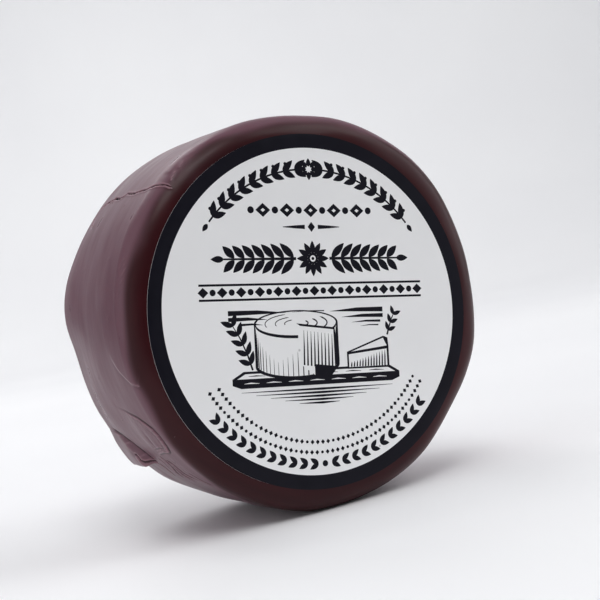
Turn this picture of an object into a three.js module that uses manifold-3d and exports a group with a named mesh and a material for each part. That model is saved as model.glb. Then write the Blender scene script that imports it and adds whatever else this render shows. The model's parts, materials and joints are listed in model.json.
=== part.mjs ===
// A small truckle of waxed cheddar: one short, round-shouldered drum of cheese in a
// thick skin of dark red wax, standing on its rim, with a round paper label on one face.
//
// Frame, in millimetres: the axis of the drum is parallel to Y, the labelled face looks
// towards -Y, +Z is up. The origin is the middle of the small flat on which it stands.
import * as THREE from 'three';
import { mergeVertices } from 'three/addons/utils/BufferGeometryUtils.js';
import Module from 'manifold-3d';

// ---- driving dimensions ----
const BODY_RADIUS = 40.5;      // greatest radius of the rim, before its unevenness
const THICKNESS = 40.8;        // face to face
const RIM_CROWN = 0.45;        // how much the rim bellies out between the shoulders
const FRONT_SHOULDER = 5.55;   // rounding between the labelled face and the rim
const BACK_SHOULDER = 7.2;     // rounding between the rim and the back face
const AXIS_HEIGHT = 39.9;      // axis above the standing flat
const LABEL_RADIUS = 35.5;     // the printed disc, black border and all
const LABEL_THICKNESS = 0.2;   // paper
const LABEL_GAP = 0.05;        // clearance between the paper and the wax
const SEGMENTS = 120;          // around the axis

// Unevenness of the rim: how far it stands out of a true circle, every ten degrees
// counted from +X towards +Z, near the labelled face, half way, and near the back.
const OUT_FRONT = [0.66, 0.92, 1.21, 1.62, 1.77, 1.5, 1.21, 0.87, 0.2, -0.04, 0.06, 0.15, 0.24, 0.33, 0.4, 0.41, 0.32, 0.12, -0.15, -0.42, -0.65, -0.82, -0.92, -0.93, -0.74, -0.14, 0.19, -0.05, -0.08, 0.02, 0.06, -0.16, -0.1, 0.53, 1.11, 0.95];
const OUT_MIDDLE = [0.71, 0.82, 0.99, 1.14, 1.19, 1.1, 0.89, 0.64, 0.37, 0.18, 0.06, 0.08, 0.25, 0.37, 0.46, 0.52, 0.47, 0.2, -0.22, -0.56, -0.77, -0.89, -0.95, -0.97, -0.91, -0.79, -0.4, -0.17, -0.05, -0.01, 0.01, 0.03, 0.15, 0.37, 0.57, 0.66];
const OUT_BACK = [0.65, 0.76, 0.87, 0.95, 0.96, 0.88, 0.73, 0.56, 0.45, 0.49, 0.66, 0.66, 0.67, 0.42, 0.4, 0.68, 1.05, 0.64, -0.67, -1.0, -0.96, -1.05, -1.08, -0.88, -1.08, -0.8, -0.49, -0.24, -0.08, -0.01, 0.03, 0.08, 0.18, 0.3, 0.44, 0.55];
const STATION_FRONT = -16, STATION_MIDDLE = 0, STATION_BACK = 14;   // where the three rows lie along Y

const smooth = (t) => { t = Math.min(1, Math.max(0, t)); return t * t * (3 - 2 * t); };

function around(row, degrees) {          // smooth curve through a row's values
  const n = row.length, t = (((degrees % 360) + 360) % 360) / 10, i = Math.floor(t), s = t - i;
  const p0 = row[(i + n - 1) % n], p1 = row[i % n], p2 = row[(i + 1) % n], p3 = row[(i + 2) % n];
  return 0.5 * (2 * p1 + (-p0 + p2) * s + (2 * p0 - 5 * p1 + 4 * p2 - p3) * s * s + (-p0 + 3 * p1 - 3 * p2 + p3) * s * s * s);
}

function outOfRound(degrees, y) {
  const a = smooth((y - STATION_FRONT) / (STATION_MIDDLE - STATION_FRONT));
  const b = smooth((y - STATION_MIDDLE) / (STATION_BACK - STATION_MIDDLE));
  return (1 - a) * around(OUT_FRONT, degrees) + a * (1 - b) * around(OUT_MIDDLE, degrees) + a * b * around(OUT_BACK, degrees);
}

// A lobe where wax ran along the rear of the rim and set: its height above the rim.
const LOBE = [[204, 0], [206.5, 0.1], [209, 0.5], [212.5, 1.1], [215, 1.45], [218, 1.68], [221, 1.5], [222.5, 0.9], [224, 0.2], [225.5, 0]];
function lobe(degrees, y) {
  if (degrees <= LOBE[0][0] || degrees >= LOBE[LOBE.length - 1][0]) return 0;
  let k = 0;
  while (degrees > LOBE[k + 1][0]) k++;
  const [d0, h0] = LOBE[k], [d1, h1] = LOBE[k + 1];
  const height = h0 + (h1 - h0) * (degrees - d0) / (d1 - d0);
  const edge = 8.8 - 0.75 * (degrees - 206);              // the front edge of the lobe runs forward
  return height * smooth((y - edge) / 4.5) * smooth((19.6 - y) / 4);
}

// ---- the drum: a lathed profile, from axis to axis, then made uneven ----
const profile = [];
const front = -THICKNESS / 2, back = THICKNESS / 2;
const rimEdge = BODY_RADIUS - RIM_CROWN;
profile.push(new THREE.Vector2(0, front));
for (let i = 0; i <= 5; i++) {
  const a = (i / 5) * Math.PI / 2;
  profile.push(new THREE.Vector2(rimEdge - FRONT_SHOULDER + FRONT_SHOULDER * Math.sin(a), front + FRONT_SHOULDER * (1 - Math.cos(a))));
}
const y0 = front + FRONT_SHOULDER, y1 = back - BACK_SHOULDER;
for (let i = 1; i < 7; i++) {
  const s = i / 7;
  profile.push(new THREE.Vector2(rimEdge + RIM_CROWN * 4 * s * (1 - s), y0 + (y1 - y0) * s));
}
for (let i = 0; i <= 6; i++) {
  const a = (i / 6) * Math.PI / 2;
  profile.push(new THREE.Vector2(rimEdge - BACK_SHOULDER + BACK_SHOULDER * Math.cos(a), y1 + BACK_SHOULDER * Math.sin(a)));
}
profile.push(new THREE.Vector2(0, back));

function welded(geometry) {              // position only, shared vertices, no empty triangles, faces out
  geometry.deleteAttribute('normal');
  geometry.deleteAttribute('uv');
  const g = mergeVertices(geometry, 1e-3);
  const index = g.getIndex().array, kept = [];
  for (let i = 0; i < index.length; i += 3) {
    const [a, b, c] = [index[i], index[i + 1], index[i + 2]];
    if (a !== b && b !== c && c !== a) kept.push(a, b, c);
  }
  const p = g.getAttribute('position');
  let volume = 0;
  const A = new THREE.Vector3(), B = new THREE.Vector3(), C = new THREE.Vector3();
  for (let i = 0; i < kept.length; i += 3) {
    A.fromBufferAttribute(p, kept[i]); B.fromBufferAttribute(p, kept[i + 1]); C.fromBufferAttribute(p, kept[i + 2]);
    volume += A.dot(B.cross(C)) / 6;
  }
  if (volume < 0) for (let i = 0; i < kept.length; i += 3) [kept[i + 1], kept[i + 2]] = [kept[i + 2], kept[i + 1]];
  g.setIndex(kept);
  return g;
}

const wasm = await Module();
wasm.setup();
function solid(geometry) {
  return new wasm.Manifold(new wasm.Mesh({
    numProp: 3,
    vertProperties: new Float32Array(geometry.getAttribute('position').array),
    triVerts: new Uint32Array(geometry.getIndex().array),
  }));
}
function geometryOf(body) {
  const m = body.getMesh();
  const g = new THREE.BufferGeometry();
  g.setAttribute('position', new THREE.BufferAttribute(new Float32Array(m.vertProperties), 3));
  g.setIndex(new THREE.BufferAttribute(new Uint32Array(m.triVerts), 1));
  g.computeVertexNormals();
  return g;
}

const drum = welded(new THREE.LatheGeometry(profile, SEGMENTS));
const pos = drum.getAttribute('position');
for (let i = 0; i < pos.count; i++) {
  const x = pos.getX(i), y = pos.getY(i), z = pos.getZ(i);
  const r = Math.hypot(x, z);
  if (r < 1) { pos.setXYZ(i, 0, y, AXIS_HEIGHT); continue; }
  const degrees = (Math.atan2(z, x) * 180 / Math.PI + 360) % 360;
  const rr = r + smooth((r - 30) / 8) * outOfRound(degrees, y) + (r > 36 ? lobe(degrees, y) : 0);
  pos.setXYZ(i, rr * x / r, y, AXIS_HEIGHT + rr * z / r);
}

// The small flat it stands on: everything below Z = 0 is cut away.
const ground = new THREE.BoxGeometry(120, 80, 20);
ground.translate(0, 0, -10);
const truckle = solid(drum).subtract(solid(welded(ground)));

const wax = new THREE.MeshStandardMaterial({ color: 0x46191d, roughness: 0.3, metalness: 0 });
const paper = new THREE.MeshStandardMaterial({ color: 0xd8d8da, roughness: 0.45, metalness: 0 });

const group = new THREE.Group();

const truckleMesh = new THREE.Mesh(geometryOf(truckle), wax);
truckleMesh.name = 'waxed_truckle';
group.add(truckleMesh);

// ---- the label: a thin paper disc on the front face ----
const disc = new THREE.CylinderGeometry(LABEL_RADIUS, LABEL_RADIUS, LABEL_THICKNESS, 96);
const labelMesh = new THREE.Mesh(disc, paper);
labelMesh.name = 'label';
labelMesh.position.set(0, front - LABEL_GAP - LABEL_THICKNESS / 2, AXIS_HEIGHT);
group.add(labelMesh);

export default group;
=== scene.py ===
import json
import math
import bpy
import bmesh
import numpy as np
from mathutils import Matrix, Vector
from mathutils.geometry import delaunay_2d_cdt


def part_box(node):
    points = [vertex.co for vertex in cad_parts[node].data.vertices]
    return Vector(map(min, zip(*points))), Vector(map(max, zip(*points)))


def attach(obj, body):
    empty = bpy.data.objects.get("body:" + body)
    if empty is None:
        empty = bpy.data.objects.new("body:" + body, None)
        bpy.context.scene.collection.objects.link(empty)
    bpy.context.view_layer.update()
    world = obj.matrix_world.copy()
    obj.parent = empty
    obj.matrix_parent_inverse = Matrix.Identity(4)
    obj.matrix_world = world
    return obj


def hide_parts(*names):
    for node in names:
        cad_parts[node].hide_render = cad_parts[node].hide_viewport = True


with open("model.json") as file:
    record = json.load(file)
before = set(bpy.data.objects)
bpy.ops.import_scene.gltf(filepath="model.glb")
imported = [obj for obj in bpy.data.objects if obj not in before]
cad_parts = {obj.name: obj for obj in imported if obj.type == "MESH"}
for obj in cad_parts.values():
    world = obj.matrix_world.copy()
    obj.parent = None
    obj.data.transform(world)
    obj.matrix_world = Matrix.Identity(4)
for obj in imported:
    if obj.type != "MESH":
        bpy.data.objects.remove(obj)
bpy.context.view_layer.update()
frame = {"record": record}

MM = 0.001
scene = bpy.context.scene

# ------------------------------------------------------------------ sizes, in millimetres
lo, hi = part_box("waxed_truckle")
THICK = (hi[1] - lo[1]) / MM                 # 40.8
FRONT = lo[1] / MM                           # the labelled face
BACK = hi[1] / MM
AXIS_Z = frame["record"]["mounts"][1]["pos_m"][2] / MM      # height of the drum's axis, 39.9
BODY_R, CROWN = 40.5, 0.45
SH_F, SH_B = 5.55, 7.2                       # shoulders
RIM = BODY_R - CROWN
FLAT_F, FLAT_B = RIM - SH_F, RIM - SH_B
RW = 32.66                                   # the white of the label
LABEL_R = (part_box("label")[1][0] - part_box("label")[0][0]) / MM / 2

OUT_FRONT = [0.66, 0.92, 1.21, 1.62, 1.77, 1.5, 1.21, 0.87, 0.2, -0.04, 0.06, 0.15, 0.24, 0.33, 0.4, 0.41, 0.32, 0.12,
             -0.15, -0.42, -0.65, -0.82, -0.92, -0.93, -0.74, -0.14, 0.19, -0.05, -0.08, 0.02, 0.06, -0.16, -0.1,
             0.53, 1.11, 0.95]
OUT_MIDDLE = [0.71, 0.82, 0.99, 1.14, 1.19, 1.1, 0.89, 0.64, 0.37, 0.18, 0.06, 0.08, 0.25, 0.37, 0.46, 0.52, 0.47, 0.2,
              -0.22, -0.56, -0.77, -0.89, -0.95, -0.97, -0.91, -0.79, -0.4, -0.17, -0.05, -0.01, 0.01, 0.03, 0.15,
              0.37, 0.57, 0.66]
OUT_BACK = [0.65, 0.76, 0.87, 0.95, 0.96, 0.88, 0.73, 0.56, 0.45, 0.49, 0.66, 0.66, 0.67, 0.42, 0.4, 0.68, 1.05, 0.64,
            -0.67, -1.0, -0.96, -1.05, -1.08, -0.88, -1.08, -0.8, -0.49, -0.24, -0.08, -0.01, 0.03, 0.08, 0.18, 0.3,
            0.44, 0.55]


# ------------------------------------------------------------------ camera
def make_camera():
    cam = bpy.data.cameras.new("camera")
    cam.lens = 76.92
    cam.sensor_width = 36.0
    cam.sensor_fit = "HORIZONTAL"
    cam.clip_start = 0.01
    cam.clip_end = 20.0
    cam.dof.use_dof = False
    ob = bpy.data.objects.new("camera", cam)
    right = Vector((0.87188, -0.45454, -0.18225))
    up = Vector((0.17332, -0.06166, 0.98293))
    back = right.cross(up).normalized()
    up = back.cross(right.normalized())
    m = Matrix((right.normalized(), up, back)).transposed().to_4x4()
    m.translation = Vector((-119.46, -246.53, 48.89)) * MM
    ob.matrix_world = m
    bpy.context.collection.objects.link(ob)
    scene.camera = ob


make_camera()
scene.view_settings.view_transform = "Standard"
scene.view_settings.look = "None"
scene.view_settings.exposure = 0.0
scene.view_settings.gamma = 0.88


# ------------------------------------------------------------------ the form of the drum
def smooth(t):
    t = np.clip(t, 0.0, 1.0)
    return t * t * (3 - 2 * t)


def around(row, deg):
    row = np.asarray(row, float)
    n = len(row)
    t = np.mod(deg, 360.0) / 10.0
    i = np.floor(t).astype(int)
    s = t - i
    p0, p1, p2, p3 = row[(i - 1) % n], row[i % n], row[(i + 1) % n], row[(i + 2) % n]
    return 0.5 * (2 * p1 + (-p0 + p2) * s + (2 * p0 - 5 * p1 + 4 * p2 - p3) * s ** 2 + (-p0 + 3 * p1 - 3 * p2 + p3) * s ** 3)


def out_of_round(deg, y):
    a = smooth((y + 16.0) / 16.0)
    b = smooth(y / 14.0)
    return (1 - a) * around(OUT_FRONT, deg) + a * (1 - b) * around(OUT_MIDDLE, deg) + a * b * around(OUT_BACK, deg)


S_WALL = SH_F * math.pi / 2                       # where the wall starts, along the profile
L_WALL = THICK - SH_F - SH_B
S_BACK = S_WALL + L_WALL
S_END = S_BACK + SH_B * math.pi / 2


def profile(s):
    """Radius and Y along the profile; s is 0 where the front face turns into the shoulder."""
    s = np.asarray(s, float)
    a = np.clip(s / SH_F, 0, math.pi / 2)
    r1, y1 = FLAT_F + SH_F * np.sin(a), FRONT + SH_F * (1 - np.cos(a))
    w = np.clip((s - S_WALL) / L_WALL, 0, 1)
    r2, y2 = RIM + CROWN * 4 * w * (1 - w), FRONT + SH_F + L_WALL * w
    b = np.clip((s - S_BACK) / SH_B, 0, math.pi / 2)
    r3, y3 = FLAT_B + SH_B * np.cos(b), BACK - SH_B + SH_B * np.sin(b)
    r = np.where(s < S_WALL, r1, np.where(s < S_BACK, r2, r3))
    y = np.where(s < S_WALL, y1, np.where(s < S_BACK, y2, y3))
    r = np.where(s < 0, FLAT_F + s, r)
    y = np.where(s < 0, FRONT, y)
    over = s - S_END
    r = np.where(over > 0, FLAT_B - over, r)
    y = np.where(over > 0, BACK, y)
    return r, y


def s_of_y(y):
    if y < FRONT + SH_F:
        return SH_F * math.acos(max(-1.0, min(1.0, 1 - (y - FRONT) / SH_F)))
    if y < BACK - SH_B:
        return S_WALL + (y - FRONT - SH_F)
    return S_BACK + SH_B * math.asin(min(1.0, (y - BACK + SH_B) / SH_B))


MM_PER_DEG = math.pi / 180 * 40.2


def line(pts):                       # (degrees, y) -> (mm around, mm along the profile)
    return np.array([(d * MM_PER_DEG, s_of_y(y)) for d, y in pts])


def near(A, S, pts, closed=False):
    """Distance to a polyline, the signed side (+ to its left) and how far along, 0 to 1."""
    seg = pts[1:] - pts[:-1]
    ln = np.hypot(seg[:, 0], seg[:, 1])
    total = ln.sum()
    start = np.concatenate([[0], np.cumsum(ln)[:-1]])
    best = np.full(A.shape, 1e9)
    side = np.ones(A.shape)
    along = np.zeros(A.shape)
    for k in range(len(seg)):
        px, py = A - pts[k, 0], S - pts[k, 1]
        t = np.clip((px * seg[k, 0] + py * seg[k, 1]) / (ln[k] ** 2 + 1e-12), 0, 1)
        dx, dy = px - t * seg[k, 0], py - t * seg[k, 1]
        d = np.hypot(dx, dy)
        c = seg[k, 0] * py - seg[k, 1] * px
        m = d < best
        best = np.where(m, d, best)
        side = np.where(m, np.sign(c), side)
        along = np.where(m, (start[k] + t * ln[k]) / total, along)
    return best, side, along


rng = np.random.default_rng(7)


def modes(n, wavelength, spread=0.35, aspect=1.0, seed=1):
    """Smooth noise over the wall, the same at 0 and 360 degrees: rows of (m, ks, phase)."""
    g = np.random.default_rng(seed)
    out = []
    per = 360 * MM_PER_DEG
    for _ in range(n):
        ang = g.uniform(0, 2 * math.pi)
        lam = wavelength * math.exp(g.normal(0, spread))
        ka = math.cos(ang) / (lam * aspect)
        ks = math.sin(ang) / lam
        out.append((round(ka * per), ks, g.uniform(0, 2 * math.pi)))
    return out


def noise(A, S, table):
    per = 360 * MM_PER_DEG
    v = np.zeros(A.shape)
    for m, ks, ph in table:
        v += np.cos(2 * math.pi * (m * A / per + ks * S) + ph)
    return v / math.sqrt(len(table) / 2.0)


CRACK = line([(142.0, 9.6), (141.0, 11.2), (139.4, 12.6), (137.0, 12.9), (135.0, 12.2), (133.9, 10.8), (133.5, 9.0),
              (133.8, 6.0), (133.25, 3.9), (134.15, 0.2), (133.8, -1.9), (133.0, -3.1), (133.75, -5.9), (134.05, -8.5),
              (133.8, -11.3), (133.85, -14.0), (133.2, -15.9), (132.5, -17.0), (131.9, -17.9), (131.55, -18.5),
              (131.45, -18.9), (131.5, -19.2)])
RIDGE = line([(128.6, -17.5), (127.4, -17.3), (126.0, -17.1), (123.2, -17.1), (119.8, -17.0),
              (117.0, -17.2), (113.5, -17.4), (109.5, -17.2), (105.8, -17.4), (102.0, -17.7)])
GLINTS = [line([(130.2, -18.95), (128.9, -18.65), (126.9, -18.35), (125.6, -18.3)]),
          line([(125.3, -18.4), (123.6, -18.15), (121.6, -17.9)]),
          line([(120.6, -17.7), (118.6, -17.7), (116.6, -17.9)])]
CRESCENT = line([(180.0, -9.3), (182.5, -10.3), (184.5, -11.3), (186.2, -12.4), (188.0, -14.0), (189.8, -15.7),
                 (190.5, -16.8), (191.2, -17.6), (191.7, -18.2)])
PATCH = line([(196.4, 1.5), (197.2, -0.5), (199.0, -5.6), (201.0, -9.9), (203.0, -12.2), (204.8, -13.6), (206.8, -14.1),
              (208.7, -14.0), (210.8, -13.6), (212.6, -12.9), (213.1, -12.2), (212.8, -10.5), (213.5, -7.5),
              (214.6, -5.2)])
GROOVE = line([(205.2, 12.0), (206.6, 10.0), (207.9, 7.1), (210.2, 4.7), (212.9, 3.2), (215.0, 2.1), (216.9, 1.6),
               (218.6, 1.4), (220.6, 1.2)])
HOOK = line([(213.9, 6.2), (214.6, 5.4), (215.4, 4.9), (216.3, 4.6), (217.1, 3.8), (217.8, 2.6), (218.5, 1.8), (219.4, 1.2)])
WRINKLES = [line([(214.8, -4.5), (216.8, -5.6), (219.8, -5.0), (222.8, -3.3), (225.7, -2.7), (228.0, -2.4)]),
            line([(216.6, -6.2), (218.8, -7.6), (221.2, -7.2), (223.5, -6.9), (226.2, -7.9), (228.4, -9.6)]),
            line([(218.8, 1.2), (221.4, 0.4), (224.0, 0.8), (226.9, 2.4)]),
            line([(219.8, -6.3), (222.0, -5.4), (224.2, -5.0), (226.6, -5.4), (229.0, -7.0)]),
            line([(222.4, -9.4), (225.0, -10.2), (228.0, -11.2), (231.4, -13.0)]),
            line([(216.0, -2.4), (218.4, -2.9), (220.6, -2.2), (223.0, -1.4)])]
SMEARS = [line(p) for p in ([(156.4, -17.3), (158.2, -16.8), (159.0, -16.3)], [(156.6, -17.9), (158.4, -17.4)],
                            [(157.6, -18.3), (159.4, -17.8), (161.2, -17.2)], [(159.0, -16.2), (160.9, -16.5)],
                            [(161.0, -17.8), (163.0, -17.3)], [(164.2, -15.8), (166.4, -16.1)],
                            [(164.0, -17.1), (166.6, -16.8)], [(155.0, -17.6), (156.6, -17.2)])]
PITS = [(155.0, -10.3, .30), (171.5, -12.2, .42), (175.8, -8.7, .24), (156.2, 3.6, .26), (182.5, -19.2, .20),
        (181.5, 4.6, .22), (185.8, 6.2, .24), (187.5, 4.8, .22), (188.0, 1.6, .42), (190.8, -7.7, .26),
        (191.0, -9.8, .22), (194.0, -3.6, .24), (165.0, -15.9, .30), (214.0, 12.3, .30), (206.0, 9.0, .26),
        (202.8, -10.2, .22), (201.0, -7.8, .22), (201.8, -0.1, .30), (194.0, -3.8, .2), (196.8, -0.8, .22),
        (192.8, 2.9, .26), (120.6, -9.0, .40), (138.0, -6.5, .28), (147.0, -2.0, .24), (168.0, -5.0, .2),
        (179.0, -1.0, .2), (128.0, -2.0, .26), (95.0, -18.4, .26), (84.2, -18.5, .24), (90.0, -18.9, .18),
        (257.0, -19.6, .24), (184.0, -15.6, .18), (199.0, -17.4, .2), (208.6, -18.2, .2)]
for _k in range(70):                                   # the rest of the skin, not seen from the front left
    PITS.append((float(rng.uniform(-95, 110)), float(rng.uniform(-18, 18)), float(rng.uniform(0.16, 0.4))))
LOBE = np.array([(203.5, 0), (206.2, 0.08), (208.3, 0.42), (210.5, 0.85), (212.5, 1.15), (215, 1.45), (217, 1.68),
                 (218.5, 1.76), (222.0, 1.76)])
LOBE_FRONT = np.array([(203.0, 14.5), (205.2, 12.0), (206.6, 10.0), (207.9, 7.1), (210.2, 4.7), (212.9, 3.2),
                       (215.0, 2.1), (216.9, 1.6), (222.0, 1.2)])
# y in mm, by angle, where the pale bloom colour starts behind the front shoulder: partly the wax's own bloom, partly a
# painted reflection
BLOOM_AND_SHEEN_EDGE = np.array([(0, -17.0), (50, -18.6), (60, -19.0), (100, -19.1), (130, -19.0), (150, -19.0), (160, -18.5),
                       (170, -18.2), (180, -17.9), (190, -17.5), (205, -17.1), (216, -16.5), (223, -15.9), (230, -14.5),
                       (245, -13.0), (270, -13.5), (300, -15.0), (330, -16.0), (360, -17.0)])

BROAD = modes(26, 17.0, 0.3, 1.3, 11)
MEDIUM = modes(34, 6.0, 0.3, 2.2, 12)
STREAK = modes(40, 2.3, 0.35, 7.0, 13)
FINE = modes(40, 1.1, 0.25, 1.6, 14)
FRAY = modes(30, 1.3, 0.3, 1.0, 15)


def relief(deg, s):
    """How far the wax stands proud of the plain form, in mm, along the surface's normal."""
    A, S = deg * MM_PER_DEG, s
    wall = smooth((s + 1.0) / 3.0) * smooth((S_END + 4.0 - s) / 8.0)
    h = 0.050 * noise(A, S, BROAD) + 0.010 * noise(A, S, MEDIUM) + 0.0024 * noise(A, S, STREAK)
    h = h * wall
    fray = noise(A, S, FRAY)

    # a split in the wax across the rim, upper left
    d, side, t = near(A, S, CRACK)
    width = 0.13 + 0.035 * fray + 0.04 * np.exp(-((t - 0.45) / 0.2) ** 2)
    width = width * (1.0 + 1.3 * smooth((0.50 - t) / 0.25))                  # wider open towards the rear
    width = np.clip(width, 0.06, 0.42) * smooth((1.0 - t) / 0.06 + 0.35) * smooth(t / 0.05 + 0.4)
    crack = d / np.maximum(width, 0.04)
    h -= 0.5 * np.exp(-(d / np.maximum(width * 1.1, 0.05)) ** 2)
    h += 0.07 * np.exp(-((d - 0.42) / 0.3) ** 2) * np.where(side > 0, 1.0, 0.45)
    h += 0.16 * np.exp(-d / 1.7) * (side > 0) * smooth((0.42 - t) / 0.1)       # one lip stands up at the rear

    # a roll of wax along the front shoulder, upper left
    d, side, t = near(A, S, RIDGE)
    e = d * -side                                                            # + towards the rear
    win = smooth(t / 0.06) * smooth((1 - t) / 0.45)
    roll = np.where(e > 0, np.exp(-(e / 1.7) ** 2), np.exp(-(e / 0.75) ** 2))
    h += 0.12 * win * (0.96 + 0.04 * fray) * roll
    h -= 0.04 * win * np.exp(-((e - 3.0) / 1.6) ** 2)
    for k, w in enumerate(GLINTS):
        d, side, t = near(A, S, w)
        win = smooth(t / 0.2) * smooth((1 - t) / 0.25)
        h += (0.14, 0.11, 0.08)[k] * win * np.exp(-(d / 0.24) ** 2)
        h -= (0.055, 0.045, 0.03)[k] * win * np.exp(-((d * side - 0.45) / 0.25) ** 2)

    # an overlapping crescent, left
    d, side, t = near(A, S, CRESCENT)
    e = d * side
    win = smooth(t / 0.45) * smooth((1 - t) / 0.10)
    up = np.where(e < 0, np.exp(-(np.abs(e) / 3.0) ** 1.6), np.exp(-(e / 0.26) ** 2))
    h += 0.20 * win * up
    h -= 0.03 * win * np.exp(-((e - 0.7) / 0.35) ** 2)

    # a flattened patch with a sharp front edge, lower left
    d, side, t = near(A, S, PATCH)
    e = d * side
    win = smooth(t / 0.5) * smooth((1 - t) / 0.12)
    up = np.where(e > 0, np.exp(-(e / 4.2) ** 1.6), np.exp(-(e / 0.30) ** 2))
    h += 0.24 * win * (0.96 + 0.05 * fray) * up
    h -= 0.06 * win * np.exp(-((e + 0.55) / 0.30) ** 2)
    inner = win * smooth((t - 0.45) / 0.1)
    h -= 0.09 * inner * np.exp(-((e - 1.05) / 0.22) ** 2)
    h -= 0.10 * np.exp(-(((deg - 208.6) * MM_PER_DEG / 1.7) ** 2 + ((s - s_of_y(-8.6)) / 0.5) ** 2))

    # the run of wax round the rear of the rim
    y = np.asarray(profile(s)[1])
    end = 219.0 + 0.13 * (y - 2.0)
    H = np.interp(deg, LOBE[:, 0], LOBE[:, 1], left=0.0) * smooth((end + 0.5 - deg) / 1.5)
    edge = np.interp(deg, LOBE_FRONT[:, 0], LOBE_FRONT[:, 1])
    h += H * smooth((y - edge + 0.4) / 3.6) * smooth((19.6 - y) / 4.0)
    d, side, t = near(A, S, GROOVE)
    win = smooth(t / 0.15) * smooth((1 - t) / 0.15)
    h -= 0.22 * win * np.exp(-(d / 0.5) ** 2)
    h -= 0.34 * np.exp(-(((deg - 213.8) * MM_PER_DEG / 1.5) ** 2 + ((y - 5.6) / 1.7) ** 2))
    d, side, t = near(A, S, HOOK)
    e = d * side
    win = smooth(t / 0.12) * smooth((1 - t) / 0.12)
    h -= 0.42 * win * np.exp(-(d / 0.27) ** 2)
    h += 0.16 * win * np.exp(-((e - 0.7) / 0.40) ** 2)

    # wrinkles below the patch
    for k, w in enumerate(WRINKLES):
        d, side, t = near(A, S, w)
        win = smooth(t / 0.12) * smooth((1 - t) / 0.3)
        h += (0.15, 0.14, 0.12, 0.09, 0.09, 0.07)[k] * win * (0.92 + 0.1 * fray) * np.exp(-(d / 0.27) ** 2)
        h -= 0.06 * win * np.exp(-((d - 0.55) / 0.3) ** 2)
    zone = smooth((deg - 214.5) / 3) * smooth((231 - deg) / 6) * smooth((s - s_of_y(-13.0)) / 3) * smooth((s_of_y(-1.0) - s) / 3)
    h += 0.010 * zone * noise(A, S, FINE)

    # smears
    for w in SMEARS:
        d, side, t = near(A, S, w)
        win = smooth(t / 0.2) * smooth((1 - t) / 0.2)
        h -= 0.035 * win * np.exp(-(d / 0.2) ** 2)
        h += 0.045 * win * np.exp(-((d * side - 0.42) / 0.22) ** 2)

    # bubbles
    for p, q, r in PITS:
        r = 0.75 * r
        aa = (np.mod(deg - p + 180, 360) - 180) * MM_PER_DEG
        m = (np.abs(aa) < 4 * r) & (np.abs(s - s_of_y(q)) < 4 * r)
        if not m.any():
            continue
        rr = np.hypot(aa[m], s[m] - s_of_y(q)) / r
        h[m] += r * (-0.34 * np.exp(-(rr / 0.62) ** 2) + 0.20 * np.exp(-((rr - 1.15) / 0.42) ** 2))
    return h, crack


def spaced(weights, lo_, hi_):
    """Positions from lo to hi, closer together where the weight (steps per unit) is higher."""
    x = np.linspace(lo_, hi_, 7201)
    dens = weights(x)
    c = np.concatenate([[0], np.cumsum((dens[1:] + dens[:-1]) / 2 * np.diff(x))])
    n = int(round(c[-1]))
    return np.interp(np.linspace(0, c[-1], n + 1), c, x)


def bell(x, a, b, soft):
    return smooth((x - a) / soft + 0.5) * smooth((b - x) / soft + 0.5)


def column_density(x):
    d = 0.55 + 1.9 * bell(x, 84, 258, 6)
    d = d + 2.0 * bell(x, 195, 231, 4)
    d = d + 4.5 * bell(x, 130.9, 135.0, 1.2)
    return d


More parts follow.
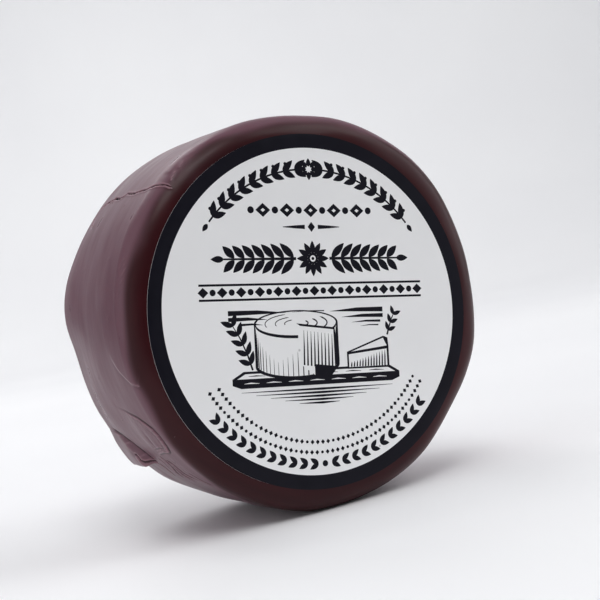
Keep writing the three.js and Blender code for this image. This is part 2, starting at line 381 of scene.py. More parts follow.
def grid_mesh():
    deg = spaced(column_density, 0.0, 360.0)[:-1]
    front_rows = np.array([-22.5, -12.5, -6.5, -3.0, -1.4, -0.5])
    rows = np.concatenate([
        front_rows,
        np.linspace(0, S_WALL, 31)[:-1],
        np.linspace(S_WALL, S_BACK, 112)[:-1],
        np.linspace(S_BACK, S_END, 25),
        S_END + np.array([1.2, 3.2, 6.5, 11.0, 17.0, 24.0])])
    D, S = np.meshgrid(deg, rows)                 # rows x columns

    def base(D_, S_):
        r, y = profile(S_)
        rr = r + smooth((r - 30) / 8) * out_of_round(D_, y)
        a = np.radians(D_)
        return np.stack([rr * np.cos(a), y, rr * np.sin(a)], -1)

    P = base(D, S)
    ds, dd = 0.05, 0.05
    tS = base(D, S + ds) - base(D, S - ds)
    tD = base(D + dd, S) - base(D - dd, S)
    N = np.cross(tS, tD)
    N /= np.linalg.norm(N, axis=-1, keepdims=True) + 1e-12
    radial = np.stack([np.cos(np.radians(D)), np.zeros_like(D), np.sin(np.radians(D))], -1)
    flip = np.sign((N * radial).sum(-1, keepdims=True) + 1e-9)
    face = (np.abs(N[..., 1:2]) > 0.999)
    N = np.where(face, np.stack([np.zeros_like(D), np.where(P[..., 1] < 0, -1.0, 1.0), np.zeros_like(D)], -1), N * flip)

    H, crack = relief(D, S)
    keep = smooth((S + 0.9) / 2.6)                     # the face under the label stays flat
    H = H * np.where(S < 6, keep, 1.0)
    # the hidden back: hand-dipped, slightly sunken and rippled
    r_back = profile(S)[0]
    on_back = S > S_END - 6
    sink = -0.35 * smooth((33 - r_back) / 12) + 0.06 * noise(D * 0 + P[..., 0] * 1.0, P[..., 2], modes(18, 15.0, 0.3, 1.0, 31))
    H = H + np.where(on_back, sink * smooth((S - S_END + 6) / 8), 0.0)
    # ridges and creases of the relief, for a painted highlight on the ridges and painted shade in the creases: + is a
    # ridge
    dA = np.gradient(deg) * MM_PER_DEG
    gA = np.gradient(H, axis=1) / dA[None, :]
    gS = np.gradient(H, rows, axis=0)
    lap = np.gradient(gA, axis=1) / dA[None, :] + np.gradient(gS, rows, axis=0)
    lap[:, :3] = lap[:, -3:] = 0.0
    ridge_glint_crease_shade = np.clip(-lap, -2.5, 2.5) * np.where((S > 0.5) & (S < S_END - 0.5), 1.0, 0.0)
    P = P + N * H[..., None]
    P[..., 1] = np.clip(P[..., 1], FRONT - 0.02, BACK + 0.15)
    P[..., 2] += AXIS_Z
    # it rests on a patch of wax pressed flat
    z = P[..., 2]
    P[..., 2] = np.where(z < 0.5, np.where(z < -0.5, 0.0, (z + 0.5) ** 2 / 2.0), z)

    nr, nc = D.shape
    verts = P.reshape(-1, 3)
    poles = np.array([[0, FRONT, AXIS_Z], [0, BACK - 0.30, AXIS_Z]])
    verts = np.vstack([verts, poles]) * MM
    cr = np.concatenate([crack.ravel(), [9.0, 9.0]])
    # mask for the pale bloom colour behind the front shoulder, partly the wax's own bloom and partly a painted
    # reflection of the pale surroundings
    edge = np.interp(np.mod(D, 360), BLOOM_AND_SHEEN_EDGE[:, 0], BLOOM_AND_SHEEN_EDGE[:, 1])
    waver = 0.25 * noise(D * MM_PER_DEG, S, modes(24, 9.0, 0.3, 1.6, 61))
    yy = profile(S)[1]
    bloom_and_sheen = np.concatenate([smooth((yy - edge + 0.95 + waver) / 1.9).ravel(), [0.0, 1.0]])
    i = np.arange(nr - 1)[:, None] * nc
    j = np.arange(nc)[None, :]
    j2 = (j + 1) % nc
    quads = np.stack([i + j, i + j2, i + nc + j2, i + nc + j], -1).reshape(-1, 4)
    f0, f1 = nr * nc, nr * nc + 1
    jj = np.arange(nc)
    front = np.stack([np.full(nc, f0), (jj + 1) % nc, jj], -1)
    base_i = (nr - 1) * nc
    rear = np.stack([np.full(nc, f1), base_i + jj, base_i + (jj + 1) % nc], -1)
    faces = [tuple(int(v) for v in q) for q in quads] + [tuple(int(v) for v in t) for t in front] + \
            [tuple(int(v) for v in t) for t in rear]
    me = bpy.data.meshes.new("wax_skin")
    me.from_pydata([tuple(v) for v in verts.tolist()], [], faces)
    me.update()
    at = me.attributes.new("crack_d", "FLOAT", "POINT")
    at.data.foreach_set("value", np.clip(cr, 0, 9).astype(np.float32))
    at = me.attributes.new("bloom_and_sheen", "FLOAT", "POINT")
    at.data.foreach_set("value", bloom_and_sheen.astype(np.float32))
    at = me.attributes.new("ridge_glint_crease_shade", "FLOAT", "POINT")
    at.data.foreach_set("value", np.concatenate([ridge_glint_crease_shade.ravel(), [0.0, 0.0]]).astype(np.float32))
    # faces out
    bm = bmesh.new()
    bm.from_mesh(me)
    vol = bm.calc_volume(signed=True)
    if vol < 0:
        bmesh.ops.reverse_faces(bm, faces=bm.faces)
    bm.to_mesh(me)
    bm.free()
    me.polygons.foreach_set("use_smooth", np.ones(len(me.polygons), bool))
    return me


# ------------------------------------------------------------------ materials
def new_mat(name):
    m = bpy.data.materials.new(name)
    m.use_nodes = True
    nt = m.node_tree
    nt.nodes.clear()
    out = nt.nodes.new("ShaderNodeOutputMaterial")
    b = nt.nodes.new("ShaderNodeBsdfPrincipled")
    nt.links.new(b.outputs["BSDF"], out.inputs["Surface"])
    return m, nt, b


def node(nt, kind, **kw):
    n = nt.nodes.new(kind)
    for k, v in kw.items():
        setattr(n, k, v)
    return n


def ramp(nt, src, p0, p1, c0=(0, 0, 0, 1), c1=(1, 1, 1, 1)):
    r = node(nt, "ShaderNodeValToRGB")
    r.color_ramp.elements[0].position = p0
    r.color_ramp.elements[1].position = p1
    r.color_ramp.elements[0].color = c0
    r.color_ramp.elements[1].color = c1
    nt.links.new(src, r.inputs["Fac"])
    return r


def scaled_noise(nt, scale, detail=3.0, rough=0.5, loc=(0, 0, 0)):
    tc = node(nt, "ShaderNodeTexCoord")
    mp = node(nt, "ShaderNodeMapping")
    mp.inputs["Scale"].default_value = scale
    mp.inputs["Location"].default_value = loc
    nt.links.new(tc.outputs["Object"], mp.inputs["Vector"])
    nz = node(nt, "ShaderNodeTexNoise")
    nz.inputs["Scale"].default_value = 1.0
    nz.inputs["Detail"].default_value = detail
    nz.inputs["Roughness"].default_value = rough
    nt.links.new(mp.outputs["Vector"], nz.inputs["Vector"])
    return nz


def mix_col(nt, fac, a, b):
    mx = node(nt, "ShaderNodeMix", data_type="RGBA")
    nt.links.new(fac, mx.inputs[0])
    for sock, val in ((mx.inputs[6], a), (mx.inputs[7], b)):
        if isinstance(val, tuple):
            sock.default_value = val
        else:
            nt.links.new(val, sock)
    return mx.outputs[2]


def mix_val(nt, fac, a, b):
    mx = node(nt, "ShaderNodeMix", data_type="FLOAT")
    nt.links.new(fac, mx.inputs[0])
    for sock, val in ((mx.inputs[2], a), (mx.inputs[3], b)):
        if isinstance(val, (int, float)):
            sock.default_value = val
        else:
            nt.links.new(val, sock)
    return mx.outputs[0]


def wax_material():
    m, nt, b = new_mat("red_wax")
    def step(src, a, c, lo_=0.0, hi_=1.0):
        mr = node(nt, "ShaderNodeMapRange", interpolation_type="SMOOTHSTEP")
        mr.inputs["From Min"].default_value = a
        mr.inputs["From Max"].default_value = c
        mr.inputs["To Min"].default_value = lo_
        mr.inputs["To Max"].default_value = hi_
        nt.links.new(src, mr.inputs["Value"])
        return mr.outputs["Result"]

    cloud = scaled_noise(nt, (55, 55, 55), 4, 0.55)
    bands = scaled_noise(nt, (40, 420, 40), 4, 0.6, (3, 1, 2))
    base = mix_col(nt, ramp(nt, cloud.outputs["Fac"], 0.3, 0.72).outputs["Color"],
                   (0.040, 0.0062, 0.0088, 1), (0.056, 0.0085, 0.0118, 1))
    base = mix_col(nt, ramp(nt, bands.outputs["Fac"], 0.35, 0.75).outputs["Color"], base, (0.035, 0.0058, 0.0086, 1))
    # a pale bloom colour behind the front shoulder, alike all round and over the back: partly the wax's own bloom,
    # partly a painted reflection of the pale surroundings
    bloom_and_sheen_mask = node(nt, "ShaderNodeAttribute", attribute_name="bloom_and_sheen").outputs["Fac"]
    bloom_and_sheen = mix_col(nt, cloud.outputs["Fac"], (0.184, 0.096, 0.122, 1), (0.144, 0.070, 0.092, 1))
    base = mix_col(nt, bloom_and_sheen_mask, base, bloom_and_sheen)
    # painted highlight on the ridges and painted shade in the creases of the relief
    ridge_glint_crease_shade = node(nt, "ShaderNodeAttribute", attribute_name="ridge_glint_crease_shade").outputs["Fac"]
    base = mix_col(nt, step(ridge_glint_crease_shade, 0.15, 1.3, 0.0, 0.75), base, (0.30, 0.18, 0.21, 1))
    base = mix_col(nt, step(ridge_glint_crease_shade, -0.15, -1.6, 0.0, 0.75), base, (0.022, 0.0060, 0.0085, 1))
    # painted shade: near-black colour down the split in the wax, which is also made rougher there
    at = node(nt, "ShaderNodeAttribute", attribute_name="crack_d")
    crack_shade_mask = ramp(nt, at.outputs["Fac"], 0.75, 1.0, (1, 1, 1, 1), (0, 0, 0, 1))
    base = mix_col(nt, crack_shade_mask.outputs["Color"], base, (0.0015, 0.0006, 0.0006, 1))
    nt.links.new(base, b.inputs["Base Color"])
    haze = scaled_noise(nt, (90, 300, 90), 5, 0.6, (1, 5, 2))
    rough = mix_val(nt, ramp(nt, haze.outputs["Fac"], 0.3, 0.72).outputs["Color"], 0.27, 0.39)
    rough = mix_val(nt, crack_shade_mask.outputs["Color"], rough, 0.9)
    nt.links.new(rough, b.inputs["Roughness"])
    b.inputs["Coat Weight"].default_value = 0.0
    b.inputs["Specular IOR Level"].default_value = 0.26
    b.inputs["IOR"].default_value = 1.5
    b.inputs["Coat Roughness"].default_value = 0.24
    b.inputs["Coat IOR"].default_value = 1.5
    b.inputs["Sheen Weight"].default_value = 0.0
    b.inputs["Sheen Roughness"].default_value = 0.45
    b.inputs["Sheen Tint"].default_value = (0.95, 0.80, 0.92, 1)
    b.inputs["Subsurface Weight"].default_value = 0.12
    b.inputs["Subsurface Radius"].default_value = (1.0, 0.25, 0.2)
    b.inputs["Subsurface Scale"].default_value = 0.0015
    fine = scaled_noise(nt, (1500, 1900, 1500), 3, 0.6)
    bump = node(nt, "ShaderNodeBump")
    bump.inputs["Strength"].default_value = 0.10
    bump.inputs["Distance"].default_value = 0.00008
    nt.links.new(fine.outputs["Fac"], bump.inputs["Height"])
    drag = scaled_noise(nt, (120, 1500, 120), 4, 0.6, (7, 2, 4))
    bump2 = node(nt, "ShaderNodeBump")
    bump2.inputs["Strength"].default_value = 0.08
    bump2.inputs["Distance"].default_value = 0.00006
    nt.links.new(drag.outputs["Fac"], bump2.inputs["Height"])
    nt.links.new(bump2.outputs["Normal"], bump.inputs["Normal"])
    nt.links.new(bump.outputs["Normal"], b.inputs["Normal"])
    return m


def paper_material():
    m, nt, b = new_mat("label_paper")
    tone = scaled_noise(nt, (45, 45, 45), 3, 0.5)
    base = mix_col(nt, ramp(nt, tone.outputs["Fac"], 0.3, 0.7).outputs["Color"],
                   (0.800, 0.800, 0.808, 1), (0.830, 0.830, 0.838, 1))
    tc = node(nt, "ShaderNodeTexCoord")
    vo = node(nt, "ShaderNodeTexVoronoi")
    vo.inputs["Scale"].default_value = 210.0
    nt.links.new(tc.outputs["Object"], vo.inputs["Vector"])
    speck = ramp(nt, vo.outputs["Distance"], 0.045, 0.075, (1, 1, 1, 1), (0, 0, 0, 1))
    some = node(nt, "ShaderNodeSeparateColor")
    nt.links.new(vo.outputs["Color"], some.inputs["Color"])
    pick = node(nt, "ShaderNodeMath", operation="GREATER_THAN")
    pick.inputs[1].default_value = 0.86
    nt.links.new(some.outputs["Red"], pick.inputs[0])
    fac = node(nt, "ShaderNodeMath", operation="MULTIPLY")
    nt.links.new(speck.outputs["Color"], fac.inputs[0])
    nt.links.new(pick.outputs["Value"], fac.inputs[1])
    half = node(nt, "ShaderNodeMath", operation="MULTIPLY")
    half.inputs[1].default_value = 0.55
    nt.links.new(fac.outputs["Value"], half.inputs[0])
    base = mix_col(nt, half.outputs["Value"], base, (0.30, 0.29, 0.30, 1))
    nt.links.new(base, b.inputs["Base Color"])
    ro = scaled_noise(nt, (300, 300, 300), 3, 0.5)
    nt.links.new(mix_val(nt, ramp(nt, ro.outputs["Fac"], 0.3, 0.7).outputs["Color"], 0.40, 0.48), b.inputs["Roughness"])
    b.inputs["IOR"].default_value = 1.45
    fib = scaled_noise(nt, (2600, 2600, 2600), 3, 0.6)
    bump = node(nt, "ShaderNodeBump")
    bump.inputs["Strength"].default_value = 0.12
    bump.inputs["Distance"].default_value = 0.00003
    nt.links.new(fib.outputs["Fac"], bump.inputs["Height"])
    nt.links.new(bump.outputs["Normal"], b.inputs["Normal"])
    return m


def ink_material():
    m, nt, b = new_mat("label_ink")
    tone = scaled_noise(nt, (160, 160, 160), 4, 0.6)
    base = mix_col(nt, ramp(nt, tone.outputs["Fac"], 0.3, 0.7).outputs["Color"],
                   (0.0070, 0.0066, 0.0125, 1), (0.0100, 0.0092, 0.0165, 1))
    nt.links.new(base, b.inputs["Base Color"])
    ro = scaled_noise(nt, (400, 400, 400), 3, 0.5)
    nt.links.new(mix_val(nt, ramp(nt, ro.outputs["Fac"], 0.3, 0.7).outputs["Color"], 0.36, 0.46), b.inputs["Roughness"])
    b.inputs["IOR"].default_value = 1.45
    b.inputs["Specular IOR Level"].default_value = 0.22
    fib = scaled_noise(nt, (2600, 2600, 2600), 3, 0.6)
    bump = node(nt, "ShaderNodeBump")
    bump.inputs["Strength"].default_value = 0.10
    bump.inputs["Distance"].default_value = 0.00003
    nt.links.new(fib.outputs["Fac"], bump.inputs["Height"])
    nt.links.new(bump.outputs["Normal"], b.inputs["Normal"])
    return m


# ------------------------------------------------------------------ the label's print: plain ornament only
INK, PAPER = 1, 0
shapes = []                                 # (polygon in label units, ink or paper), later ones on top


def disc(cx, cy, r, n=20):
    return [(cx + r * math.cos(2 * math.pi * k / n), cy + r * math.sin(2 * math.pi * k / n)) for k in range(n)]


def leaf(x, y, ang, length, width, n=9, fat=0.42):
    """A pointed leaf from (x, y) in direction ang (degrees)."""
    c, s = math.cos(math.radians(ang)), math.sin(math.radians(ang))
    up, dn = [], []
    for k in range(n + 1):
        t = k / n
        w = width / 2 * math.sin(math.pi * t ** (math.log(0.5) / math.log(fat))) ** 0.9 if 0 < t < 1 else 0.0
        up.append((t * length, w))
        dn.append((t * length, -w))
    pts = up + dn[-2:0:-1]
    return [(x + c * a - s * b, y + s * a + c * b) for a, b in pts]


def diamond(x, y, ang, length, width):
    c, s = math.cos(math.radians(ang)), math.sin(math.radians(ang))
    pts = [(-length / 2, 0), (0, -width / 2), (length / 2, 0), (0, width / 2)]
    return [(x + c * a - s * b, y + s * a + c * b) for a, b in pts]


def stroke(pts, widths):
    """A line with its own width at each point, as one polygon."""
    pts = np.array(pts, float)
    if np.isscalar(widths):
        widths = [widths] * len(pts)
    t = np.gradient(pts, axis=0)
    t /= np.linalg.norm(t, axis=1, keepdims=True) + 1e-12
    nrm = np.stack([-t[:, 1], t[:, 0]], 1)
    w = np.array(widths)[:, None] / 2
    left, right = pts + nrm * w, pts - nrm * w
    return [tuple(p) for p in np.vstack([left, right[::-1]])]


def arc(r, a0, a1, width, step=2.5, taper=0.0):
    n = max(2, int(abs(a1 - a0) / step))
    an = np.radians(np.linspace(a0, a1, n + 1))
    w = [width * (1 - taper * abs(2 * k / n - 1) ** 3) for k in range(n + 1)]
    return stroke([(r * math.cos(a), r * math.sin(a)) for a in an], w)


def add(poly, ink=INK):
    q = np.array(poly, float)
    nxt = np.roll(q, -1, axis=0)
    if (q[:, 0] * nxt[:, 1] - nxt[:, 0] * q[:, 1]).sum() < 0:
        poly = poly[::-1]
    shapes.append((poly, ink))


def polar(r, a):
    return r * math.cos(math.radians(a)), r * math.sin(math.radians(a))


def design():
    # garland of leaves across the top
    for side in (-1, 1):
        for k in range(9):
            a = 90 + side * (6.5 + 5.3 * k)
            x, y = polar(0.868, a)
            d = a - side * 90                     # along the stem, towards the top middle
            add(leaf(x, y, d + side * 34, 0.098, 0.042))
            add(leaf(x, y, d - side * 34, 0.092, 0.040))
            x2, y2 = polar(0.868, a + side * 2.7)
            if k < 8:
                add(disc(*polar(0.912, a + side * 3.6), 0.0105, 10))
        add(arc(0.868, 90 + side * 3.6, 90 + side * 51.5, 0.011))
        x, y = polar(0.868, 90 + side * 52.6)
        add(leaf(x, y, 90 + side * 52.6 + side * 90, 0.055, 0.03))
    for k in range(8):
        x, y = polar(0.868, 90)
        add(leaf(x + 0.016 * math.cos(k * math.pi / 4), y + 0.016 * math.sin(k * math.pi / 4), k * 45, 0.052, 0.03))
    add(disc(0, 0.868, 0.013, 12), PAPER)
    # first row: diamonds and dots
    for k in range(-5, 6):
        x = k * 0.081
        if k % 2:
            add(disc(x, 0.614, 0.0215, 14))
        else:
            add(diamond(x, 0.614, 0, 0.098, 0.084))
            add(diamond(x, 0.614, 0, 0.030, 0.024), PAPER)
    # second row: a short rule
    for side in (-1, 1):
        add(stroke([(side * 0.045, 0.512), (side * 0.12, 0.512), (side * 0.195, 0.512)], [0.026, 0.017, 0.004]))
    add(diamond(0, 0.512, 90, 0.062, 0.05))
    # broad band: two ears of grain meeting at a rosette
    y0 = 0.318
    for k in range(12):
        add(leaf(0.028 * math.cos(k * math.pi / 6), y0 + 0.028 * math.sin(k * math.pi / 6), k * 30, 0.082, 0.036))
    add(disc(0, y0, 0.036, 18))
    add(disc(0, y0, 0.020, 14), PAPER)
    add(disc(0, y0, 0.010, 10))
    for side in (-1, 1):
        base = 90 - side * 90
        add(stroke([(side * 0.115, y0), (side * 0.35, y0), (side * 0.60, y0)], [0.018, 0.014, 0.010]))
        for k in range(7):
            x = side * (0.130 + 0.066 * k)
            ln = 0.128 - 0.004 * k
            add(leaf(x, y0 + 0.006, base + side * 44, ln, 0.047, fat=0.45))
            add(leaf(x, y0 - 0.006, base - side * 44, ln, 0.047, fat=0.45))
        add(leaf(side * 0.595, y0, base, 0.085, 0.040))
    # fourth row: beads between two rules
    for yy in (0.165, 0.076):
        add(stroke([(-0.765, yy), (0, yy), (0.765, yy)], [0.013, 0.013, 0.013]))
    for k in range(-12, 13):
        x = k * 0.0615
        if k % 2:
            add(disc(x, 0.1205, 0.0195, 12))
        else:
            add(diamond(x, 0.1205, 0, 0.068, 0.062))
    picture()
    # two fine beaded arcs and a row of leaves at the foot
    for r, a0, a1, step in ((0.800, -146, -33, 2.55), (0.862, -147, -33, 2.35)):
        n = int((a1 - a0) / step)
        for k in range(n + 1):
            a = a0 + (a1 - a0) * k / n
            if k % 5 == 4:
                add(disc(*polar(r, a), 0.0095, 8))
            else:
                add(diamond(*polar(r, a), a + 90, 0.026, 0.030))
    for k in range(-11, 12):
        a = -89 + k * 4.45
        x, y = polar(0.932, a)
        if k == 0:
            add(disc(x, y, 0.019, 14))
            continue
        sgn = 1 if k > 0 else -1
        x, y = polar(0.932, a - sgn * 1.6)
        add(leaf(x, y, a + sgn * 90 + sgn * 30, 0.066, 0.031))
        add(leaf(x, y, a + sgn * 90 - sgn * 30, 0.066, 0.031))


def picture():
    """A cut cheese and a wedge on a board, in a woodcut manner."""
    def P(x, y):
        return (x, y)
    # board
    add([P(-0.575, -0.395), P(-0.50, -0.352), P(0.50, -0.352), P(0.575, -0.395), P(0.575, -0.432), P(0.52, -0.452),
         P(-0.52, -0.452), P(-0.575, -0.432)])
    add([P(-0.545, -0.396), P(-0.49, -0.366), P(0.49, -0.366), P(0.545, -0.396)], PAPER)
    for k in range(6):
        x0 = -0.47 + 0.165 * k
        add(stroke([(x0, -0.381), (x0 + 0.05, -0.379), (x0 + 0.11, -0.382)], [0.002, 0.007, 0.002]))
    for k in range(7):
        x0 = -0.50 + 0.147 * k
        add(stroke([(x0, -0.424), (x0 + 0.045, -0.421), (x0 + 0.10, -0.425)], [0.002, 0.008, 0.002]), PAPER)
    for k in range(5):
        y = -0.476 - 0.021 * k
        w = 0.52 - 0.095 * k
        add(stroke([(-w, y), (0.02, y - 0.002), (w, y)], [0.002, 0.014, 0.002]))
    # the drum
    cx, rx, ry, top, bot = -0.135, 0.285, 0.080, -0.075, -0.330
    n = 44

    def ell(yc, a0, a1, m=n, kx=1.0, ky=1.0):
        return [(cx + kx * rx * math.cos(math.radians(a0 + (a1 - a0) * k / m)),
                 yc + ky * ry * math.sin(math.radians(a0 + (a1 - a0) * k / m))) for k in range(m + 1)]
    add(ell(top, 0, 180) + ell(bot, 180, 360))                                   # dark silhouette
    add(ell(top - 0.010, 180, 360, n, 0.965, 1.0) + ell(bot + 0.016, 360, 180, n, 0.965, 1.0), PAPER)
    add(ell(top, 0, 360, n, 0.955, 0.90)[:-1], PAPER)
    # shading on the side: upright cuts, heavier to the right
    for k in range(25):
        a = 183 + k * 7.25
        x = cx + 0.965 * rx * math.cos(math.radians(a))
        yt = top - 0.010 + ry * math.sin(math.radians(a))
        yb = bot + 0.016 + ry * math.sin(math.radians(a))
        side = abs(k - 8) / 16.0
        w = 0.003 + 0.020 * side ** 1.5 * (1.0 if k > 8 else 0.75)
        full = min(1.0, 0.35 + side * 1.2)
        add(stroke([(x, yb), (x, yb + (yt - yb) * full * 0.55), (x, yb + (yt - yb) * full)], [w, w * 0.9, 0.001]))
    # rings of shading on the top
    for q in (0.74, 0.50, 0.28):
        pts = ell(top, 300, 400, 14, q, q)
        add(stroke(pts, [0.001] + [0.008] * 13 + [0.001]))
        pts = ell(top, 110, 200, 14, q, q)
        add(stroke(pts, [0.001] + [0.005] * 13 + [0.001]))
    # the wedge taken out at the right front
    c0 = (cx, top)
    a1, a2 = 292, 336
    pa = (cx + rx * math.cos(math.radians(a1)), top + ry * math.sin(math.radians(a1)))
    pb = (cx + rx * math.cos(math.radians(a2)), top + ry * math.sin(math.radians(a2)))
    d = bot - top
    qa, qb, qc = (pa[0], pa[1] + d), (pb[0], pb[1] + d), (cx, top + d)
    add([pa, c0, pb, (pb[0] + 0.0, pb[1] - 0.001), qb, (0.5 * (qa[0] + qb[0]) + 0.03, qa[1] - 0.012), qa])
    add([(c0[0] + 0.008, c0[1] - 0.018), (pa[0] + 0.006, pa[1] - 0.016), (qa[0] + 0.006, qa[1] + 0.010),
         (qc[0] + 0.008, qc[1] + 0.012)], PAPER)
    add([(c0[0] + 0.022, c0[1] - 0.016), (pb[0] - 0.008, pb[1] - 0.012), (qb[0] - 0.008, qb[1] + 0.018),
         (qc[0] + 0.022, qc[1] + 0.014)], PAPER)
    for k in range(9):                                                            # shaded cut face
        t = (k + 0.5) / 9
        x0, yA = c0[0] + 0.030 + (pb[0] - c0[0] - 0.044) * t, c0[1] - 0.016 + (pb[1] - c0[1]) * t
        add(stroke([(x0, yA + d * 0.93), (x0 + 0.004, yA + d * 0.5), (x0 + 0.006, yA + d * 0.10)], [0.011, 0.008, 0.002]))
    # the wedge on the board
    tip, far, near_ = (0.205, -0.262), (0.470, -0.172), (0.505, -0.240)
    h = -0.128
    add([tip, far, (far[0] + 0.03, far[1] - 0.012), near_, (near_[0], near_[1] + h), (tip[0], tip[1] + h * 0.82)])
    add([(tip[0] + 0.030, tip[1] + 0.000), (far[0] - 0.002, far[1] - 0.012), (near_[0] - 0.012, near_[1] + 0.006)], PAPER)
    add([(tip[0] + 0.012, tip[1] - 0.016), (near_[0] - 0.014, near_[1] - 0.012), (near_[0] - 0.014, near_[1] + h + 0.012),
         (tip[0] + 0.012, tip[1] + h * 0.82 + 0.010)], PAPER)
    for k in range(13):
        t = (k + 0.4) / 13
        x = tip[0] + 0.02 + (near_[0] - tip[0] - 0.04) * t
        yb = tip[1] + h * 0.82 + 0.012 + (near_[1] + h - tip[1] - h * 0.82) * t
        ln = 0.030 + 0.075 * t ** 1.2
        add(stroke([(x, yb), (x + 0.003, yb + ln * 0.6), (x + 0.004, yb + ln)], [0.010, 0.008, 0.001]))
    # sprigs on either side, and a hatched sky
    for sx, bx in ((-1, -0.44), (1, 0.30)):
        pts = [(bx, -0.345), (bx + sx * 0.03, -0.25), (bx + sx * 0.075, -0.15), (bx + sx * 0.13, -0.06)]
        if sx > 0:
            pts = [(0.50, -0.165), (0.515, -0.12), (0.535, -0.07), (0.562, -0.02)]
        add(stroke(pts, [0.012, 0.010, 0.008, 0.004]))
        for k in range(5 if sx < 0 else 3):
            t = (k + 0.6) / (5 if sx < 0 else 3) * 3
            i = min(2, int(t))
            f = t - i
            x = pts[i][0] + (pts[i + 1][0] - pts[i][0]) * f
            y = pts[i][1] + (pts[i + 1][1] - pts[i][1]) * f
            d0 = 90 - sx * 28
            for e in (-42, 42):
                add(leaf(x, y, d0 + e, 0.085 if sx < 0 else 0.06, 0.034 if sx < 0 else 0.026))
    for (x0, x1, y, w) in ((-0.585, -0.20, -0.004, 0.030), (-0.585, -0.33, -0.042, 0.024), (-0.50, -0.36, -0.074, 0.014),
                           (0.10, 0.475, -0.004, 0.030), (0.18, 0.475, -0.042, 0.024), (0.25, 0.455, -0.076, 0.014),
                           (0.31, 0.44, -0.101, 0.008), (-0.16, 0.06, -0.003, 0.006)):
        xm = (x0 + x1) / 2
        if x0 < -0.3 or x0 == -0.585:
            add(stroke([(x0, y), (xm, y + 0.002), (x1, y - 0.004)], [w, w * 0.8, 0.001]))
        else:
            add(stroke([(x0, y - 0.004), (xm, y + 0.002), (x1, y)], [0.001, w * 0.8, w]))


def label_mesh():
    design()
    rho = math.radians(-8.65)
    c, s = math.cos(rho), math.sin(rho)
    rings = [(disc(0, 0, LABEL_R / RW, 288), INK), (disc(0, 0, 1.0, 288), PAPER)]
    polys = rings + shapes
    verts, faces = [], []
    for poly, _ink in polys:
        k = len(verts)
        verts += [Vector((p[0] * RW, p[1] * RW)) for p in poly]
        faces.append(list(range(k, k + len(poly))))
    # points inside, so that the paper can follow the wax
    for r in np.arange(2.0, LABEL_R - 0.15, 2.0):
        m = max(8, int(2 * math.pi * r / 2.2))
        for k in range(m):
            a = 2 * math.pi * (k + 0.37 * r) / m
            verts.append(Vector((r * math.cos(a), r * math.sin(a))))
    for r in (RW + 0.7, RW + 1.3, RW + 1.8, RW + 2.2, RW + 2.5):
        for k in range(144):
            a = 2 * math.pi * (k + 0.5) / 144
            verts.append(Vector((r * math.cos(a), r * math.sin(a))))
    v2, _e2, f2, _ov, _oe, of = delaunay_2d_cdt(verts, [], faces, 0, 1e-4, True)
    tris, inks = [], []
    for f, orig in zip(f2, of):
        if not orig:
            continue
        tris.append(list(f))
        inks.append(polys[max(orig)][1])
    used = sorted({i for t in tris for i in t})
    remap = {v: i for i, v in enumerate(used)}
    xy = np.array([v2[i] for i in used])
    tris = [[remap[i] for i in t] for t in tris]
    # into the part's frame
    X = c * xy[:, 0] - s * xy[:, 1]
    Z = s * xy[:, 0] + c * xy[:, 1]
    rad = np.hypot(X, Z)
    deg = np.degrees(np.arctan2(Z, X))
    # where the wax is under each point: flat, then turning down over the shoulder
    s_try = np.linspace(-8, 4, 121)
    r0, y0 = profile(s_try)
    oor = out_of_round(deg, np.full(deg.shape, FRONT))
    drop = np.zeros(len(rad))
    for k in range(len(rad)):
        if rad[k] > 31:
            rr = r0 + smooth((r0 - 30) / 8) * oor[k]
            drop[k] = np.interp(rad[k], rr, y0) - FRONT
    table = modes(20, 16.0, 0.35, 1.0, 51)
    wave = np.zeros(len(rad))
    for m_, ks, ph in table:
        kx = m_ / (360 * MM_PER_DEG)
        wave += np.cos(2 * math.pi * (kx * X + ks * Z) + ph)
    wave = np.clip(wave / math.sqrt(10), -2, 2) * 0.5 + 1.0              # 0 .. 2
    lift = 0.014 * wave * smooth((LABEL_R - rad) / 3.0)
    y_top = FRONT - 0.15 - lift + drop
    y_bot = FRONT - 0.03 + drop
    n = len(X)
    top = np.stack([X, y_top, Z + AXIS_Z], 1)
    bot = np.stack([X, y_bot, Z + AXIS_Z], 1)
    # orient: seen from -Y, counter-clockwise
    out = []
    for t in tris:
        a, b_, d_ = (np.array([X[i], Z[i]]) for i in (t[0], t[1], t[2]))
        area = (b_[0] - a[0]) * (d_[1] - a[1]) - (b_[1] - a[1]) * (d_[0] - a[0])
        out.append(t if area > 0 else t[::-1])
    edges = {}
    for t in out:
        for k in range(len(t)):
            e = (t[k], t[(k + 1) % len(t)])
            edges[e] = True
    rim = [e for e in edges if (e[1], e[0]) not in edges]
    faces = [tuple(t) for t in out] + [tuple(i + n for i in t[::-1]) for t in out] + \
            [(b_, a, a + n, b_ + n) for a, b_ in rim]
    mats = inks + [0] * len(out) + [0] * len(rim)
    me = bpy.data.meshes.new("printed_label")
    me.from_pydata((np.vstack([top, bot]) * MM).tolist(), [], faces)
    me.update()
    me.materials.append(paper_material())
    me.materials.append(ink_material())
    me.polygons.foreach_set("material_index", np.array(mats, np.int32))
    sm = np.zeros(len(me.polygons), bool)
    sm[:len(out) * 2] = True
    me.polygons.foreach_set("use_smooth", sm)
    me.update()
    # keep the cut edge of the paper crisp
    rimset = {tuple(sorted(e)) for e in rim} | {tuple(sorted((a + n, b_ + n))) for a, b_ in rim}
    sharp = np.zeros(len(me.edges), bool)
    for k, e in enumerate(me.edges):
        if tuple(sorted(e.vertices)) in rimset:
            sharp[k] = True
    at = me.attributes.get("sharp_edge") or me.attributes.new("sharp_edge", "BOOLEAN", "EDGE")
    at.data.foreach_set("value", sharp)
    return me


skin = bpy.data.objects.new("wax_skin", grid_mesh())
skin.data.materials.append(wax_material())
bpy.context.collection.objects.link(skin)
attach(skin, "root")
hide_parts("waxed_truckle")

label = bpy.data.objects.new("printed_label", label_mesh())
bpy.context.collection.objects.link(label)
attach(label, "root")
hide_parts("label")


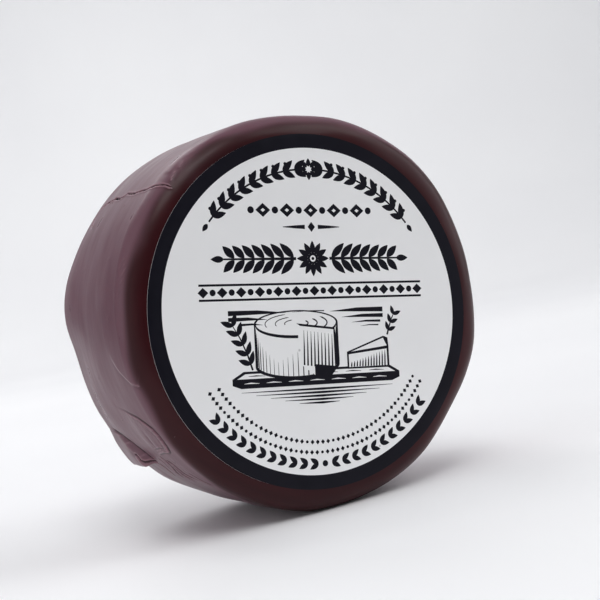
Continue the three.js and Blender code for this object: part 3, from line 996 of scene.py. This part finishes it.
# ------------------------------------------------------------------ stage and light
def stage_material():
    m, nt, b = new_mat("pale_board")
    tone = scaled_noise(nt, (3.0, 3.0, 3.0), 3, 0.5)
    nt.links.new(mix_col(nt, ramp(nt, tone.outputs["Fac"], 0.3, 0.7).outputs["Color"],
                         (0.84, 0.84, 0.855, 1), (0.89, 0.89, 0.90, 1)), b.inputs["Base Color"])
    b.inputs["Roughness"].default_value = 0.55
    b.inputs["IOR"].default_value = 1.4
    return m


def make_stage():
    """A floor that sweeps up behind into a wall, turned square to the camera."""
    path = [(-0.16, 0.0), (0.10, 0.0), (0.40, 0.0), (0.75, 0.0)]
    for k in range(1, 13):
        a = k / 12 * math.pi / 2
        path.append((0.75 + 0.45 * math.sin(a), 0.45 * (1 - math.cos(a))))
    path.append((1.2, 2.2))
    ang = math.radians(-27.6)
    d = Vector((-math.sin(ang), math.cos(ang), 0))
    r = Vector((math.cos(ang), math.sin(ang), 0))
    vs, fs = [], []
    for t, z in path:
        left, right = -0.17 - 1.1 * max(0.0, t - 0.02), 0.30 + 1.3 * max(0.0, t + 0.16)
        for w in (left, right):
            p = d * t + r * w
            vs.append((p.x, p.y, z - 0.00002))
    for k in range(len(path) - 1):
        fs.append((2 * k, 2 * k + 1, 2 * k + 3, 2 * k + 2))
    me = bpy.data.meshes.new("stage")
    me.from_pydata(vs, [], fs)
    me.update()
    me.polygons.foreach_set("use_smooth", np.ones(len(fs), bool))
    me.materials.append(stage_material())
    ob = bpy.data.objects.new("stage", me)
    bpy.context.collection.objects.link(ob)


make_stage()


def area(name, loc, target, size, power, color=(1, 1, 1), size_y=None):
    l = bpy.data.lights.new(name, "AREA")
    l.energy = power
    l.color = color
    l.shape = "RECTANGLE"
    l.size = size
    l.size_y = size_y or size
    ob = bpy.data.objects.new(name, l)
    v = Vector(target) - Vector(loc)
    ob.matrix_world = Matrix.Translation(Vector(loc)) @ v.to_track_quat("-Z", "Y").to_matrix().to_4x4()
    bpy.context.collection.objects.link(ob)
    return ob


area("front_high", (-0.2, -0.7, 1.0), (0, 0, 0.04), 0.5, 3.75)
area("front_right_high", (0.7, -0.6, 0.9), (0, 0, 0.04), 0.5, 2.06)
area("front_top", (-0.1, -0.35, 1.3), (0, 0, 0.04), 0.7, 2.35)
area("rear_high", (-0.05, 0.75, 0.85), (0, 0, 0.04), 0.6, 2.21)
area("on_backdrop", (-0.2, 0.4, 1.0), (0.25, 1.1, 0.3), 0.5, 2.55)


def make_world(lobes):
    """Soft surroundings: each lobe is a direction, how tight it is, and its strength."""
    w = bpy.data.worlds.new("world")
    w.use_nodes = True
    nt = w.node_tree
    nt.nodes.clear()
    out = nt.nodes.new("ShaderNodeOutputWorld")
    bg = nt.nodes.new("ShaderNodeBackground")
    nt.links.new(bg.outputs["Background"], out.inputs["Surface"])
    tc = nt.nodes.new("ShaderNodeTexCoord")
    nrm = nt.nodes.new("ShaderNodeVectorMath")
    nrm.operation = "NORMALIZE"
    nt.links.new(tc.outputs["Generated"], nrm.inputs[0])
    total = None
    for d, power, strength in lobes:
        dv = Vector(d).normalized()
        dot = nt.nodes.new("ShaderNodeVectorMath")
        dot.operation = "DOT_PRODUCT"
        dot.inputs[1].default_value = dv
        nt.links.new(nrm.outputs["Vector"], dot.inputs[0])
        mx = nt.nodes.new("ShaderNodeMath")
        mx.operation = "MAXIMUM"
        mx.inputs[1].default_value = 0.0
        nt.links.new(dot.outputs["Value"], mx.inputs[0])
        pw = nt.nodes.new("ShaderNodeMath")
        pw.operation = "POWER"
        pw.inputs[1].default_value = power
        nt.links.new(mx.outputs["Value"], pw.inputs[0])
        ma = nt.nodes.new("ShaderNodeMath")
        ma.operation = "MULTIPLY_ADD"
        ma.inputs[1].default_value = strength
        ma.inputs[2].default_value = 0.0
        nt.links.new(pw.outputs["Value"], ma.inputs[0])
        if total is not None:
            nt.links.new(total, ma.inputs[2])
        total = ma.outputs["Value"]
    bg.inputs["Color"].default_value = (0.97, 0.98, 1.0, 1)
    nt.links.new(total, bg.inputs["Strength"])
    scene.world = w


make_world([((-1, 0, 0.25), 3.0, 1.35), ((1, 0, 0.25), 3.0, 2.13), ((-0.2, -0.6, 0.77), 5.0, 0.23)])
